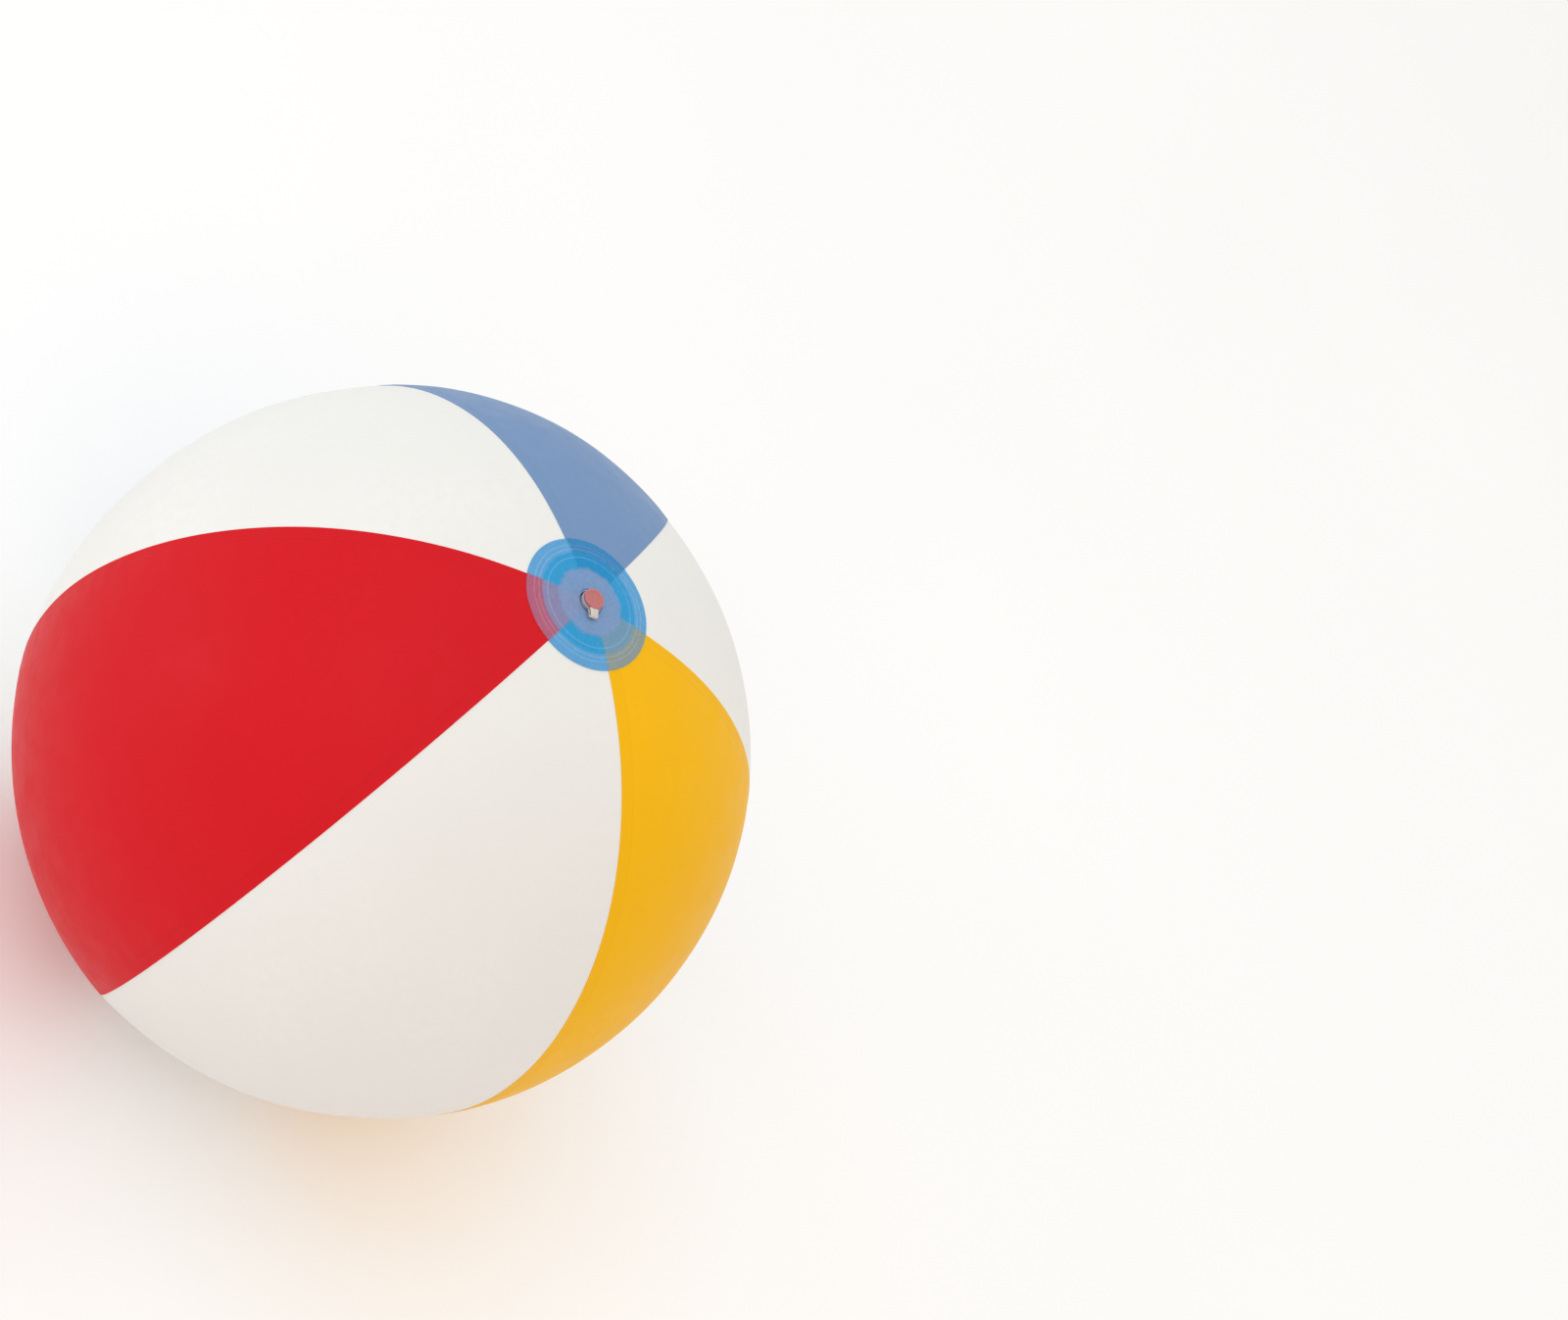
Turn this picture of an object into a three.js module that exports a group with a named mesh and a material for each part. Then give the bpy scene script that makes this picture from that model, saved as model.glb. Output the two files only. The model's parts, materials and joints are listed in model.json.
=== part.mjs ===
// An inflatable beach ball, blown up. Six panels of soft sheet are lapped and welded edge to edge,
// a round disc covers the panel ends at each pole, and a push-in air valve sits in the top disc.
// Millimetres, +Z up through the valve, origin at the centre of the ball.
import * as THREE from "three";

// The ball's skin
const equatorRadius = 162.5;
const poleRadius = 158.9;
const poleFlatness = 8; // a higher power keeps the flattening closer to the poles
const sheetThickness = 0.25;
const lapWidth = 6; // how far each coloured panel covers the white one beside it
const panelEndRadius = 15; // the panels stop this far from the axis
const gap = 0.3; // clearance between pieces that touch on the real ball

// The end discs
const discRadius = 29.6;
const discThickness = 0.35;

// The valve's fixed flange, welded under the top disc inside the ring of panel ends
const flangeThickness = 0.5;
const wellClearance = 1.2; // room round the stem for the skirt that turns inside out
const skirtThickness = 0.4;

// The valve's stem, which is pushed in
const boreRadius = 3.5;
const stemWall = 0.9;
const lipOverhang = 0.3;
const lipHeight = 0.8;
const lipChamfer = 0.2;
const stemDepth = 9; // below the disc's outer face
const mouthHeight = 1; // above the disc's outer face

// The stopper and its strap
const headOverhang = 0.2;
const headThickness = 1.5;
const headChamfer = 0.3;
const plugPlay = 0.25;
const plugTaper = 0.6;
const plugLength = 3.6;
const strapWidth = 3.5;
const strapThickness = 0.5;
const strapBend = 0.75; // radius of the loop's bend at mid thickness
const strapReach = 2.9; // from the stem's lip to the middle of that bend
const strapAngle = THREE.MathUtils.degToRad(-20);

// The check flap at the stem's inner end
const flapInset = 0.3;
const flapThickness = 0.4;
const flapTabHalfWidth = 1.5;
const flapHingeAngle = strapAngle + Math.PI;

// How finely the round shapes are divided
const panelColumns = 8; // between a panel's two welds
const capRows = 3; // under a disc
const bodyRows = 11; // from a disc's edge to the equator
const discSegments = 36;
const valveSegments = 24;
const bendSegments = 8;

// Sizes that follow from the ones above
const stemRadius = boreRadius + stemWall;
const lipRadius = stemRadius + lipOverhang;
const wellRadius = stemRadius + wellClearance;
// Across a lap a panel's end is one straight line, whose middle lies nearer the axis than its ends.
const flangeRadius = panelEndRadius * Math.cos(lapWidth / panelEndRadius / 2) - gap;
const headRadius = stemRadius + headOverhang;
const discFace = poleRadius + gap + discThickness; // height of the top disc's outer face
const headUnderside = mouthHeight + gap;
const panelAngle = Math.PI / 3;

const colours = {
  red: 0xd8282c,
  yellow: 0xeeb212,
  blue: 0x6f9cc0,
  white: 0xece6de,
  discBlue: 0x3f90c8,
  valveMilky: 0xaebbd2,
  strapCream: 0xe8dfd2,
  stopperPink: 0xd0606a,
};

function vinyl(colour, opacity = 1) {
  return new THREE.MeshStandardMaterial({
    color: colour,
    roughness: 0.3,
    metalness: 0,
    transparent: opacity < 1,
    opacity,
  });
}

// Radius of the coloured panels' outer face at an angle down from the +Z pole: the equator's
// radius, less a flattening that grows as a power of the cosine towards each pole.
function skinRadius(polar) {
  const flattening = Math.abs(Math.cos(polar)) ** poleFlatness;
  return equatorRadius + (poleRadius - equatorRadius) * flattening;
}

// Angle down from the pole at which that face is a given distance from the axis.
function polarAt(distance) {
  const rounds = 20;
  let polar = 0;
  for (let i = 0; i < rounds; i++) polar = Math.asin(distance / skinRadius(polar));
  return polar;
}

// A point of a turned profile, a distance from the axis and an offset outwards from the skin.
function skinPoint(distance, offset) {
  const polar = polarAt(distance);
  const radius = skinRadius(polar) + offset;
  return new THREE.Vector2(radius * Math.sin(polar), radius * Math.cos(polar));
}

function evenSteps(from, to, count) {
  return Array.from({ length: count + 1 }, (_, i) => from + ((to - from) * i) / count);
}

// Rows of a panel as angles from the top pole. The ones under a disc match the disc's own rings.
const capRadii = evenSteps(panelEndRadius, discRadius, capRows);
const upperRows = [
  ...capRadii.map(polarAt),
  ...evenSteps(polarAt(discRadius), Math.PI / 2, bodyRows).slice(1),
];
const panelRows = [
  ...upperRows,
  ...upperRows.slice(0, -1).reverse().map((polar) => Math.PI - polar),
];

// Columns of a panel as angles from its middle. The first and last columns are the welds, which
// lie inside the seam lines on a coloured panel and outside them on a white one.
function panelColumnsAt(polar, weldInside) {
  const lapAngle = lapWidth / (skinRadius(polar) * Math.sin(polar));
  const seam = panelAngle / 2;
  const inner = weldInside ? seam - lapAngle : seam;
  const outer = weldInside ? seam : seam + lapAngle;
  return [-outer, ...evenSteps(-inner, inner, panelColumns), outer];
}

// A panel is a thin box bent round the ball: its width runs along the equator, its height from
// pole to pole and its depth outwards through the sheet.
function panelGeometry(weldInside) {
  const outerFace = weldInside ? 0 : -(sheetThickness + gap);
  const columns = panelColumns + 2;
  const rows = panelRows.length - 1;
  const geometry = new THREE.BoxGeometry(1, 1, 1, columns, rows, 1);
  const corner = new THREE.Vector3();
  const places = geometry.getAttribute("position");
  for (let i = 0; i < places.count; i++) {
    corner.fromBufferAttribute(places, i);
    const column = Math.round((corner.x + 0.5) * columns);
    const row = Math.round((0.5 - corner.y) * rows);
    const polar = panelRows[row];
    const angle = panelColumnsAt(polar, weldInside)[column];
    const radius = skinRadius(polar) + outerFace - (corner.z > 0 ? 0 : sheetThickness);
    const distance = radius * Math.sin(polar);
    places.setXYZ(
      i,
      distance * Math.cos(angle),
      distance * Math.sin(angle),
      radius * Math.cos(polar),
    );
  }
  return geometry;
}

// A profile of distance from the axis and height, turned round the Z axis.
function turned(profile, segments) {
  return new THREE.LatheGeometry(profile, segments).rotateX(Math.PI / 2);
}

// A closed ring's profile, from its lower face's points and its upper face's, both going outwards.
function ringProfile(lower, upper) {
  return [...lower, ...upper.reverse(), lower[0].clone()];
}

function point(distance, height) {
  return new THREE.Vector2(distance, height);
}

// The top disc lies over the panel ends and has the valve's well in its middle.
function valveDiscGeometry() {
  const radii = [wellRadius, ...capRadii];
  const lower = radii.map((r) => skinPoint(r, gap));
  const upper = radii.map((r) => skinPoint(r, gap + discThickness));
  return turned(ringProfile(lower, upper), discSegments);
}

// The bottom disc has no hole. It is flat inside the ring of panel ends, where the ball rests.
function baseDiscGeometry() {
  const below = (p) => point(p.x, -p.y);
  const outer = capRadii.map((r) => below(skinPoint(r, gap + discThickness)));
  const inner = capRadii.map((r) => below(skinPoint(r, gap)));
  const profile = [point(0, outer[0].y), ...outer, ...inner.reverse(), point(0, inner.at(-1).y)];
  return turned(profile, discSegments);
}

function flangeGeometry() {
  const radii = evenSteps(wellRadius, flangeRadius, 2);
  const lower = radii.map((r) => skinPoint(r, -flangeThickness));
  const upper = radii.map((r) => skinPoint(r, 0));
  return turned(ringProfile(lower, upper), valveSegments);
}

// The skirt joins the flange's inner edge to the stem's inner end as a steep thin cone.
function skirtGeometry() {
  const topOuter = wellRadius - gap;
  const footInner = stemRadius + gap;
  const top = poleRadius - discFace;
  const lower = [point(footInner, -stemDepth), point(footInner + skirtThickness, -stemDepth)];
  const upper = [point(topOuter - skirtThickness, top), point(topOuter, top)];
  return turned(ringProfile(lower, upper), valveSegments);
}

function stemGeometry() {
  const lipFoot = mouthHeight - lipHeight;
  const profile = [
    point(boreRadius, -stemDepth),
    point(stemRadius, -stemDepth),
    point(stemRadius, lipFoot - lipOverhang),
    point(lipRadius, lipFoot),
    point(lipRadius, mouthHeight - lipChamfer),
    point(lipRadius - lipChamfer, mouthHeight),
    point(boreRadius, mouthHeight),
    point(boreRadius, -stemDepth),
  ];
  return turned(profile, valveSegments);
}

// The stopper's round head covers the mouth and its tapered plug fills the bore below.
function stopperGeometry() {
  const plugRadius = boreRadius - plugPlay;
  const profile = [
    point(0, -plugLength),
    point(plugRadius - plugTaper, -plugLength),
    point(plugRadius, 0),
    point(headRadius, 0),
    point(headRadius, headThickness - headChamfer),
    point(headRadius - headChamfer, headThickness),
    point(0, headThickness),
  ];
  return turned(profile, valveSegments);
}

// The strap is a short band bent into a U: its lower leg leaves the stem's lip, its upper leg
// comes back to the head, and the bend's middle is the line that the stopper swings about.
const strapHinge = lipRadius + strapReach;

function strapGeometry() {
  const outside = strapBend + strapThickness / 2;
  const inside = strapBend - strapThickness / 2;
  const lowerEnd = lipRadius + gap;
  const upperEnd = headRadius + gap;
  const quarter = Math.PI / 2;
  const band = new THREE.Shape();
  band.moveTo(lowerEnd, -outside);
  band.lineTo(strapHinge, -outside);
  band.absarc(strapHinge, 0, outside, -quarter, quarter, false);
  band.lineTo(upperEnd, outside);
  band.lineTo(upperEnd, inside);
  band.lineTo(strapHinge, inside);
  band.absarc(strapHinge, 0, inside, quarter, -quarter, true);
  band.lineTo(lowerEnd, -inside);
  band.closePath();
  const options = { depth: strapWidth, bevelEnabled: false, curveSegments: bendSegments };
  return new THREE.ExtrudeGeometry(band, options)
    .translate(0, 0, -strapWidth / 2)
    .rotateX(Math.PI / 2);
}

// The flap is a thin round leaf with a short tab, and it hinges where the tab meets the stem.
function flapGeometry() {
  const flapRadius = stemRadius - flapInset;
  const tabAngle = Math.asin(flapTabHalfWidth / flapRadius);
  const leaf = new THREE.Shape();
  leaf.moveTo(stemRadius, -flapTabHalfWidth);
  leaf.lineTo(stemRadius, flapTabHalfWidth);
  leaf.absarc(0, 0, flapRadius, tabAngle, 2 * Math.PI - tabAngle, false);
  leaf.closePath();
  const options = { depth: flapThickness, bevelEnabled: false, curveSegments: valveSegments };
  return new THREE.ExtrudeGeometry(leaf, options);
}

function piece(name, geometry, material) {
  const mesh = new THREE.Mesh(geometry, material);
  mesh.name = name;
  return mesh;
}

const ball = new THREE.Group();

// The panels in turn round the axis, the coloured ones lapping over the white ones.
const panels = [
  { name: "yellow_panel", colour: colours.yellow, over: true },
  { name: "white_panel_1", colour: colours.white, over: false },
  { name: "blue_panel", colour: colours.blue, over: true },
  { name: "white_panel_2", colour: colours.white, over: false },
  { name: "red_panel", colour: colours.red, over: true },
  { name: "white_panel_3", colour: colours.white, over: false },
];
panels.forEach((panel, i) => {
  const mesh = piece(panel.name, panelGeometry(panel.over), vinyl(panel.colour));
  mesh.rotation.z = (i + 0.5) * panelAngle;
  ball.add(mesh);
});

const discOpacity = 0.7;
ball.add(piece("valve_disc", valveDiscGeometry(), vinyl(colours.discBlue, discOpacity)));
ball.add(piece("base_disc", baseDiscGeometry(), vinyl(colours.discBlue, discOpacity)));
ball.add(piece("valve_flange", flangeGeometry(), vinyl(colours.valveMilky)));

// Heights in the valve are from the top disc's outer face.
const valve = new THREE.Group();
valve.position.z = discFace;
ball.add(valve);

valve.add(piece("valve_skirt", skirtGeometry(), vinyl(colours.valveMilky)));
valve.add(piece("valve_stem", stemGeometry(), vinyl(colours.valveMilky)));

const stopper = piece("stopper", stopperGeometry(), vinyl(colours.stopperPink));
stopper.position.z = headUnderside;
valve.add(stopper);

const strap = piece("stopper_strap", strapGeometry(), vinyl(colours.strapCream));
strap.position.z = headUnderside;
strap.rotation.z = strapAngle;
valve.add(strap);

const flap = piece("check_flap", flapGeometry(), vinyl(colours.valveMilky));
flap.position.z = -stemDepth - gap - flapThickness;
flap.rotation.z = flapHingeAngle;
valve.add(flap);

export default ball;
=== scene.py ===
"""An inflatable beach ball, blown up: six welded sheets of soft vinyl, a blue film disc at each pole
and a push-in air valve with a stopper on a strap. Every surface here is worked out on a grid round
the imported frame, in metres, with +Z up through the valve and the origin at the ball's centre."""

import json
import math

import bmesh
import bpy
import numpy as np
from bpy.props import FloatProperty, FloatVectorProperty, PointerProperty
from mathutils import Matrix, Vector


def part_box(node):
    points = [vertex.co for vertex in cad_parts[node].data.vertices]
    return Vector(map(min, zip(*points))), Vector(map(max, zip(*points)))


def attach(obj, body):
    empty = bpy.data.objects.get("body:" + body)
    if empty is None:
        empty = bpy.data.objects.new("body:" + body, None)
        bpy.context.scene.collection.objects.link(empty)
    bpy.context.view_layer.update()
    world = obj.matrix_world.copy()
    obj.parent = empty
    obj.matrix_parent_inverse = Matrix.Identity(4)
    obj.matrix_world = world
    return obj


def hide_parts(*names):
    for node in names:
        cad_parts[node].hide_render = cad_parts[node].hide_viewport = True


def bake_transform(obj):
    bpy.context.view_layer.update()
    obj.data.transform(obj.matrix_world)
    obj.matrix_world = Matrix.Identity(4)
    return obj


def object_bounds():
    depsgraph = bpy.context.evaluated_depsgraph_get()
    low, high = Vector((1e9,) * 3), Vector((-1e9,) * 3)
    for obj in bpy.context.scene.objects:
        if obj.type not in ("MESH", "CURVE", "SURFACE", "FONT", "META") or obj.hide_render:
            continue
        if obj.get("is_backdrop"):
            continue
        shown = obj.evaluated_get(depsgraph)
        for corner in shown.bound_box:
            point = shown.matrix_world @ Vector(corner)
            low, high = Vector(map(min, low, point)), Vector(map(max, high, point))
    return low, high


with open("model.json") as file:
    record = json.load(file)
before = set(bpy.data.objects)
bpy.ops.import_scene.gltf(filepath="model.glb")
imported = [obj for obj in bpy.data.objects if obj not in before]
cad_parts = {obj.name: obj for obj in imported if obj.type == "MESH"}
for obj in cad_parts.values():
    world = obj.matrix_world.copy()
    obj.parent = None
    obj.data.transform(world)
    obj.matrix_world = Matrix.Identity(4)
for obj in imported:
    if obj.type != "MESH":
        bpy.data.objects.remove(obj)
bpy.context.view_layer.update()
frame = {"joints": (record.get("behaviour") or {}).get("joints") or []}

bl_info = {
    "name": "Beach Ball",
    "version": (1, 0, 0),
    "blender": (4, 5, 0),
    "location": "3D View > Sidebar > Beach Ball",
    "description": "Makes the sheets, film discs and air valve of an inflatable beach ball",
    "category": "Mesh",
}

MM = 0.001
PANEL_COUNT = 6
PANEL_ANGLE = 2 * math.pi / PANEL_COUNT
POLE_FLATNESS = 8  # the power of the cosine by which the ball flattens towards its poles

# The sheets in turn round the axis: piece, CAD node, colour, whether it laps over its neighbours,
# and how far its middle stands out, as a share of the ball's radius.
PANELS = (
    ("yellow_panel_sheet", "yellow_panel", "yellow", True, 0.001),
    ("white_panel_1_sheet", "white_panel_1", "white", False, -0.003),
    ("blue_panel_sheet", "blue_panel", "blue", True, 0.018),
    ("white_panel_2_sheet", "white_panel_2", "white", False, -0.011),
    ("red_panel_sheet", "red_panel", "red", True, -0.008),
    ("white_panel_3_sheet", "white_panel_3", "white", False, -0.005),
)
BULGES = np.array([panel[4] for panel in PANELS])
LAPS_OVER = np.array([panel[3] for panel in PANELS])

JOINTS = {joint["name"]: joint for joint in frame["joints"]}


def low(node):
    """A CAD node's lowest corner."""
    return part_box(node)[0]


def high(node):
    """A CAD node's highest corner."""
    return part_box(node)[1]


def hinge(joint):
    """Where a valve joint's line passes: its distance from the axis, its direction and its height."""
    x, y, z = JOINTS[joint]["pos_m"]
    return math.hypot(x, y), math.atan2(y, x), z


EQUATOR = high("yellow_panel").x
POLE = high("valve_skirt").z
CAD_GAP = 0.3 * MM  # the clearance between CAD pieces that touch on the real ball
WELL = high("valve_skirt").x + CAD_GAP
MOUTH = high("valve_stem").z
STEM_FOOT = low("valve_stem").z
HEAD_TOP = high("stopper").z
PLUG_END = low("stopper").z
HEAD_RADIUS = high("stopper").x
LIP_RADIUS = high("valve_stem").x
FLAP_TOP = high("check_flap").z
FLAP_BOTTOM = low("check_flap").z
STRAP_HINGE, STRAP_ANGLE, STRAP_HEIGHT = hinge("stopper_swing")
FLAP_HINGE, FLAP_ANGLE, _ = hinge("flap_swing")


def length(name, description, default):
    """A length that a user may change, in metres."""
    return FloatProperty(
        name=name,
        description=description,
        default=default,
        min=0,
        unit="LENGTH",
        precision=5,
    )


def colour(name, description, default):
    """A colour that a user may change."""
    return FloatVectorProperty(
        name=name,
        description=description,
        default=default,
        size=3,
        min=0,
        max=1,
        subtype="COLOR",
    )


class BeachBallSizes(bpy.types.PropertyGroup):
    """Sizes of the sheets, films and valve."""

    sheet: length("Sheet", "Thickness of the panels' vinyl sheet", 0.25 * MM)
    lap: length("Lap", "How far a coloured sheet covers the white one", 6 * MM)
    weld_depth: length("Weld depth", "How deep the weld is pressed", 0.06 * MM)
    ends: length("Panel ends", "Distance from the axis to the sheets' ends", 15.2 * MM)
    end_wave: length("End wave", "How unevenly the ends were cut", 0.5 * MM)
    waves: length("Waves", "Height of the skin's broad waves", 0.3 * MM)
    puckers: length("Puckers", "Height of the puckers beside the seams", 0.14 * MM)
    disc: length("Disc", "Radius of the film discs", high("valve_disc").x)
    film: length("Film", "Thickness of the film discs", 0.35 * MM)
    ridge: length("Ridge", "Height of the rings moulded in the film", 0.28 * MM)
    well: length("Well", "Radius of the hole that the valve sinks in", WELL)
    bore: length("Bore", "Radius of the valve's bore", 3.5 * MM)
    wall: length("Wall", "Thickness of the valve stem's wall", 0.9 * MM)
    strap_width: length("Strap width", "Width of the stopper's strap", 3.5 * MM)
    strap: length("Strap", "Thickness of the stopper's strap", 0.5 * MM)


class BeachBallColours(bpy.types.PropertyGroup):
    """Colours of the sheets, films and valve."""

    red: colour("Red", "The red sheet", (0.62, 0.007, 0.014))
    yellow: colour("Yellow", "The yellow sheet", (0.88, 0.465, 0.0005))
    blue: colour("Blue", "The blue sheet", (0.17, 0.278, 0.48))
    white: colour("White", "The white sheets", (0.80, 0.79, 0.765))
    haze: colour("Haze", "The film where it lies on the valve's flange", (0.28, 0.42, 0.69))
    valve: colour("Valve", "The milky vinyl of the valve", (0.42, 0.49, 0.64))
    stopper: colour("Stopper", "The stopper", (0.52, 0.16, 0.155))
    strap: colour("Strap", "The stopper's strap", (0.62, 0.57, 0.53))
    floor: colour("Floor", "The floor", (0.97, 0.97, 0.97))


# ---------------------------------------------------------------- surfaces


def ramp(value, start, end):
    """Nothing up to the start, one past the end, and a smooth rise between: three t squared less
    two t cubed."""
    t = np.clip((value - start) / (end - start), 0, 1)
    return t * t * (3 - 2 * t)


def plane_waves(points, wavelength, count, seed):
    """Smooth unevenness from minus one to one: the mean of sines along random directions."""
    rng = np.random.default_rng(seed)
    directions = rng.normal(size=(count, 3))
    directions /= np.linalg.norm(directions, axis=1, keepdims=True)
    phases = rng.uniform(0, 2 * math.pi, count)
    return np.sin(points @ directions.T * (2 * math.pi / wavelength) + phases).mean(axis=-1)


def on_sphere(radius, polar, azimuth):
    """Points from their radius, their angle from the +Z pole and their angle round the axis."""
    sine = np.sin(polar)
    return np.stack(
        [radius * sine * np.cos(azimuth), radius * sine * np.sin(azimuth), radius * np.cos(polar)],
        axis=-1,
    )


def plain_radius(polar):
    """The ball's radius before its bulges and waves: the equator's, less a flattening that grows as
    the eighth power of the cosine towards each pole."""
    return EQUATOR + (POLE - EQUATOR) * np.abs(np.cos(polar)) ** POLE_FLATNESS


def polar_at(distance):
    """The angle from the pole at which the plain ball is that far from the axis, by iteration."""
    polar = np.zeros_like(distance)
    for _ in range(12):
        polar = np.arcsin(distance / plain_radius(polar))
    return polar


def seam_distance(polar, azimuth):
    """How far a point lies from the nearest seam along the skin: positive on a coloured sheet's side
    of it, and negative on a white sheet's."""
    turn = azimuth / PANEL_ANGLE
    within = 0.5 - np.abs(turn - np.floor(turn) - 0.5)
    side = np.where(LAPS_OVER[np.floor(turn).astype(int) % PANEL_COUNT], 1.0, -1.0)
    return side * within * PANEL_ANGLE * EQUATOR * np.sin(polar)


def end_waves(sizes, azimuth):
    """How unevenly the sheets' ends were cut round the axis: the sum of two sines."""
    return sizes.end_wave * (0.6 * np.sin(9 * azimuth + 0.8) + 0.4 * np.sin(22 * azimuth + 2.1))


def skin_radius(sizes, polar, azimuth):
    """Radius of the coloured sheets' outer face. It is the plain radius times one plus the panel's
    bulge, a parabola across the panel that fades as the sine squared; plus broad plane waves; plus
    puckers, sines along each seam that rise beside the weld and die away in a centimetre; plus
    pleats, a sine round the axis that dies away from each disc's edge."""
    plain = plain_radius(polar)
    turn = azimuth / PANEL_ANGLE
    across = turn - np.floor(turn) - 0.5
    bulge = BULGES[np.floor(turn).astype(int) % PANEL_COUNT] * (1 - 4 * across**2)
    radius = plain * (1 + bulge * np.sin(polar) ** 2)

    outside = plain * np.sin(polar) - sizes.disc
    clear = ramp(outside, 0, 25 * MM)
    points = on_sphere(plain, polar, azimuth)
    radius += sizes.waves * plane_waves(points, 57 * MM, 9, seed=3) * (0.3 + 0.7 * clear)

    rng = np.random.default_rng(11)
    lengths = rng.uniform(11 * MM, 15 * MM, PANEL_COUNT)
    phases = rng.uniform(0, 2 * math.pi, (3, PANEL_COUNT))
    seam = np.round(turn).astype(int) % PANEL_COUNT
    along = 2 * math.pi * EQUATOR * polar
    wander = 1.4 * np.sin(along / (61 * MM) + phases[0][seam])
    swell = 0.3 + 0.7 * np.sin(along / (190 * MM) + phases[1][seam]) ** 2
    distance = np.abs(seam_distance(polar, azimuth))
    beside = (1 - np.exp(-distance / (4 * MM))) * np.exp(-distance / (9 * MM))
    ripple = np.sin(along / lengths[seam] + wander + phases[2][seam])
    radius += 2 * sizes.puckers * ripple * swell * beside * clear

    pleat = np.sin(26 * azimuth + 1.7 * np.sin(3 * azimuth + 0.6))
    edge = ramp(outside, 0, 2 * MM) * np.exp(-np.maximum(outside, 0) / (6 * MM))
    return radius + 0.6 * sizes.puckers * pleat * edge


def lofted(name, sections, joined, sharp=40, values=None):
    """A closed surface through a row of closed sections, given as an array of sections by points
    by three. Quads join each section to the next. When joined, the last section meets the first;
    if not, quads laid across each end section, from its first half to its second, close it.
    Values are point attributes, arrays of sections by points."""
    count, size = sections.shape[:2]
    index = np.arange(count * size).reshape(count, size)
    if joined:
        this, following = index, np.roll(index, -1, axis=0)
    else:
        this, following = index[:-1], index[1:]
    beyond = [np.roll(rows, -1, axis=1) for rows in (this, following)]
    quads = [np.stack([this, beyond[0], beyond[1], following], axis=-1).reshape(-1, 4)]
    if not joined:
        near = np.arange(size // 2 - 1)
        far = size - 1 - near
        across = np.stack([near, far, far - 1, near + 1], axis=-1)
        quads += [across, index[-1, 0] + across[:, ::-1]]
    quads = np.concatenate(quads)
    points = sections.reshape(-1, 3)
    a, b, c, d = (points[quads[:, k]] for k in range(4))
    volume = (a * (np.cross(b, c) + np.cross(c, d))).sum()
    if volume < 0:
        quads = quads[:, ::-1]

    mesh = bpy.data.meshes.new(name)
    mesh.vertices.add(len(points))
    mesh.vertices.foreach_set("co", points.astype(np.float32).ravel())
    mesh.loops.add(quads.size)
    mesh.loops.foreach_set("vertex_index", quads.astype(np.int32).ravel())
    mesh.polygons.add(len(quads))
    mesh.polygons.foreach_set("loop_start", np.arange(0, quads.size, 4, dtype=np.int32))
    mesh.update(calc_edges=True)
    for key, array in (values or {}).items():
        kind = "FLOAT_COLOR" if array.ndim == 3 else "FLOAT"
        field = "color" if array.ndim == 3 else "value"
        layer = mesh.attributes.new(key, kind, "POINT")
        layer.data.foreach_set(field, array.astype(np.float32).ravel())
    merge_doubles(mesh)
    mesh.polygons.foreach_set("use_smooth", np.ones(len(mesh.polygons), bool))
    mesh.set_sharp_from_angle(angle=math.radians(sharp))
    piece = bpy.data.objects.new(name, mesh)
    bpy.context.scene.collection.objects.link(piece)
    return piece


def merge_doubles(mesh):
    """Closes the poles and rounded-off corners, where points of a grid fall together."""
    work = bmesh.new()
    work.from_mesh(mesh)
    bmesh.ops.remove_doubles(work, verts=work.verts, dist=1e-7)
    bmesh.ops.dissolve_degenerate(work, edges=work.edges, dist=1e-8)
    work.to_mesh(mesh)
    work.free()


def rounded(profile, radii, steps=5):
    """A closed profile with its corners rounded: each corner becomes a quadratic curve that starts
    and ends its own radius away along the two sides, or at most just under half a side."""
    corner = np.array(profile, float)
    reach = np.broadcast_to(np.asarray(radii, float), len(corner))[:, None]
    ends = []
    for neighbour in (np.roll(corner, 1, axis=0), np.roll(corner, -1, axis=0)):
        side = neighbour - corner
        size = np.linalg.norm(side, axis=1, keepdims=True)
        ends.append(corner + side / size * np.minimum(reach, 0.45 * size))
    t = np.linspace(0, 1, steps)[None, :, None]
    start, middle, end = ends[0][:, None], corner[:, None], ends[1][:, None]
    curve = (1 - t) ** 2 * start + 2 * t * (1 - t) * middle + t**2 * end
    return curve.reshape(-1, 2)


def turned(name, profile, around=96, **options):
    """A closed profile of distances from the axis and heights, carried round the Z axis."""
    azimuth = np.linspace(0, 2 * math.pi, around, endpoint=False)[:, None]
    distance, height = profile[:, 0], profile[:, 1]
    sections = np.stack(
        [distance * np.cos(azimuth), distance * np.sin(azimuth), height + 0 * azimuth],
        axis=-1,
    )
    return lofted(name, sections, joined=True, **options)


# ---------------------------------------------------------------- materials


def node(tree, kind, inputs=None, **settings):
    """Adds a shader node. An input is a plain value or another node's output socket."""
    made = tree.nodes.new(kind)
    for key, value in settings.items():
        setattr(made, key, value)
    for key, value in (inputs or {}).items():
        if isinstance(value, bpy.types.NodeSocket):
            tree.links.new(value, made.inputs[key])
        else:
            made.inputs[key].default_value = value
    return made


def new_material(name):
    """An empty node material, its node tree and its output node."""
    material = bpy.data.materials.new(name)
    material.use_nodes = True
    tree = material.node_tree
    tree.nodes.clear()
    return material, tree, node(tree, "ShaderNodeOutputMaterial")


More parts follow.
